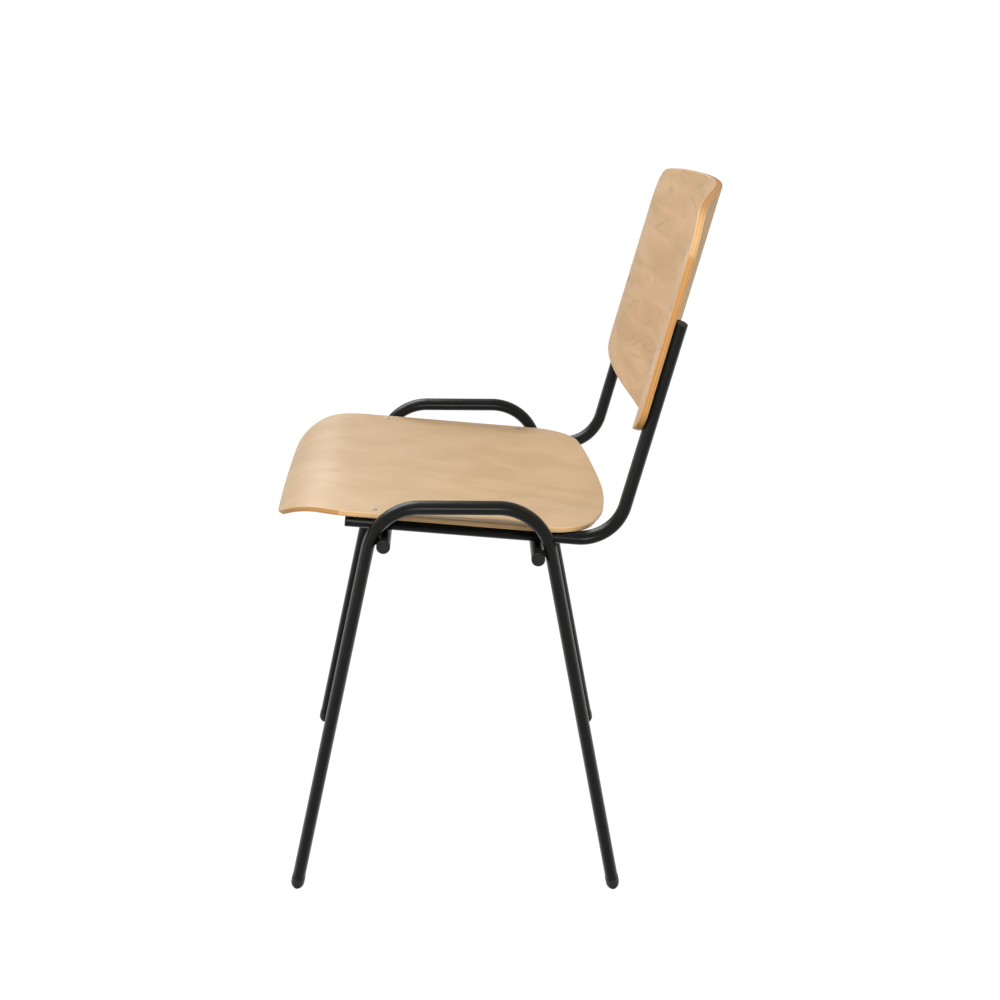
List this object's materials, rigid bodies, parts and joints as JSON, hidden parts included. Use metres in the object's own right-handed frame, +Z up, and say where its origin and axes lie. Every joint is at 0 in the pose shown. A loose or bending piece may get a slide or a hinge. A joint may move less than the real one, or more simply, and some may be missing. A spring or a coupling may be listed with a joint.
{
  "type": "chair",
  "caption": "Stacking conference chair with a moulded beech plywood seat and a curved plywood backrest on a black powder-coated frame of bent oval steel tube.",
  "frame": {"origin": "on the floor under the middle of the chair's bounding box", "axes": "+Z up; -Y is the way the sitter faces; +X is the sitter's left-hand side"},
  "size_m": [0.5546, 0.5344, 0.8113],
  "materials": {
    "frame": "black satin powder coat on steel tube",
    "plywood": "clear satin lacquer on moulded beech plywood",
    "plastic": "black moulded plastic",
    "fixings": "bright zinc plate"
  },
  "bodies": {
    "root": {"leg_frame_left": "frame", "rail_left": "frame", "leg_frame_right": "frame", "rail_right": "frame", "cross_tube_front": "frame", "cross_tube_rear": "frame", "seat_shell": "plywood", "back_shell": "plywood", "foot_front_left": "plastic", "cross_plug_front_left": "plastic", "seat_bolt_front_left": "fixings", "foot_front_right": "plastic", "cross_plug_front_right": "plastic", "seat_bolt_front_right": "fixings", "foot_rear_left": "plastic", "cross_plug_rear_left": "plastic", "seat_bolt_rear_left": "fixings", "foot_rear_right": "plastic", "cross_plug_rear_right": "plastic", "seat_bolt_rear_right": "fixings", "rail_plug_left": "plastic", "upright_plug_left": "plastic", "rail_plug_right": "plastic", "upright_plug_right": "plastic", "back_bolt_left": "fixings", "back_bolt_right": "fixings"}
  },
  "joints": []
}
